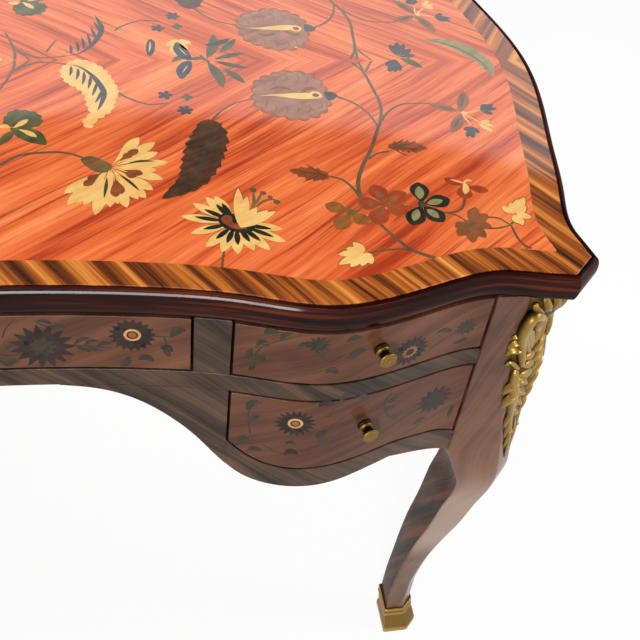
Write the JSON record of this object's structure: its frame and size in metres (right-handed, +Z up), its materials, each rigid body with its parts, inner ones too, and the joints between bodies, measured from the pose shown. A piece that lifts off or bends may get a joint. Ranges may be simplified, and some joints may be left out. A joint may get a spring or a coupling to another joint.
{
  "type": "writing desk",
  "caption": "Serpentine kneehole writing desk with a marquetry top, cabriole legs, cast brass corner mounts and sliding drawers.",
  "frame": {"origin": "on the floor under the middle of the whole table, knobs included", "axes": "+Z up, +X to the right of someone facing the drawers, -Y towards that person"},
  "size_m": [1.328, 0.8207, 0.775],
  "materials": {
    "tulipwood": "polished veneer",
    "zebra_banding": "polished striped veneer",
    "mahogany": "polished",
    "veneered_wood": "polished veneer",
    "carcass_wood": "plain",
    "gilt_brass": "polished cast brass"
  },
  "bodies": {
    "table": {"back_flank_left": "veneered_wood", "back_flank_right": "veneered_wood", "back_frieze": "veneered_wood", "centre_dust_board": "carcass_wood", "corner_blocks": "carcass_wood", "corner_mount_back_left": "gilt_brass", "corner_mount_back_right": "gilt_brass", "corner_mount_front_left": "gilt_brass", "corner_mount_front_right": "gilt_brass", "drawer_guides": "carcass_wood", "front_apron_left": "veneered_wood", "front_apron_right": "veneered_wood", "front_bracket_left": "veneered_wood", "front_bracket_right": "veneered_wood", "front_kicker_rail": "carcass_wood", "front_rail": "veneered_wood", "front_stile_left": "veneered_wood", "front_stile_right": "veneered_wood", "kneehole_wall_left": "carcass_wood", "kneehole_wall_right": "carcass_wood", "leg_back_left": "veneered_wood", "leg_back_right": "veneered_wood", "leg_front_left": "veneered_wood", "leg_front_right": "veneered_wood", "lower_dust_board_left": "carcass_wood", "lower_dust_board_right": "carcass_wood", "sabot_back_left": "gilt_brass", "sabot_back_right": "gilt_brass", "sabot_front_left": "gilt_brass", "sabot_front_right": "gilt_brass", "side_panel_left": "veneered_wood", "side_panel_right": "veneered_wood", "top_board": "carcass_wood", "top_crossbanding": "zebra_banding", "top_edge_moulding": "mahogany", "top_field_veneer": "tulipwood", "upper_dust_board_left": "carcass_wood", "upper_dust_board_right": "carcass_wood"},
    "centre_drawer": {"centre_drawer_bottom": "carcass_wood", "centre_drawer_front": "veneered_wood", "centre_drawer_knob": "gilt_brass", "centre_drawer_walls": "carcass_wood"},
    "upper_drawer_right": {"upper_drawer_right_bottom": "carcass_wood", "upper_drawer_right_front": "veneered_wood", "upper_drawer_right_knob": "gilt_brass", "upper_drawer_right_walls": "carcass_wood"},
    "upper_drawer_left": {"upper_drawer_left_bottom": "carcass_wood", "upper_drawer_left_front": "veneered_wood", "upper_drawer_left_knob": "gilt_brass", "upper_drawer_left_walls": "carcass_wood"},
    "lower_drawer_right": {"lower_drawer_right_bottom": "carcass_wood", "lower_drawer_right_front": "veneered_wood", "lower_drawer_right_knob": "gilt_brass", "lower_drawer_right_walls": "carcass_wood"},
    "lower_drawer_left": {"lower_drawer_left_bottom": "carcass_wood", "lower_drawer_left_front": "veneered_wood", "lower_drawer_left_knob": "gilt_brass", "lower_drawer_left_walls": "carcass_wood"}
  },
  "joints": [
    {"name": "centre_drawer_slide", "type": "slide", "parent": "table", "child": "centre_drawer", "axis": [0, -1, 0], "range_m": [0, 0.3]},
    {"name": "upper_drawer_right_slide", "type": "slide", "parent": "table", "child": "upper_drawer_right", "axis": [0, -1, 0], "range_m": [0, 0.3]},
    {"name": "upper_drawer_left_slide", "type": "slide", "parent": "table", "child": "upper_drawer_left", "axis": [0, -1, 0], "range_m": [0, 0.3]},
    {"name": "lower_drawer_right_slide", "type": "slide", "parent": "table", "child": "lower_drawer_right", "axis": [0, -1, 0], "range_m": [0, 0.3]},
    {"name": "lower_drawer_left_slide", "type": "slide", "parent": "table", "child": "lower_drawer_left", "axis": [0, -1, 0], "range_m": [0, 0.3]}
  ]
}
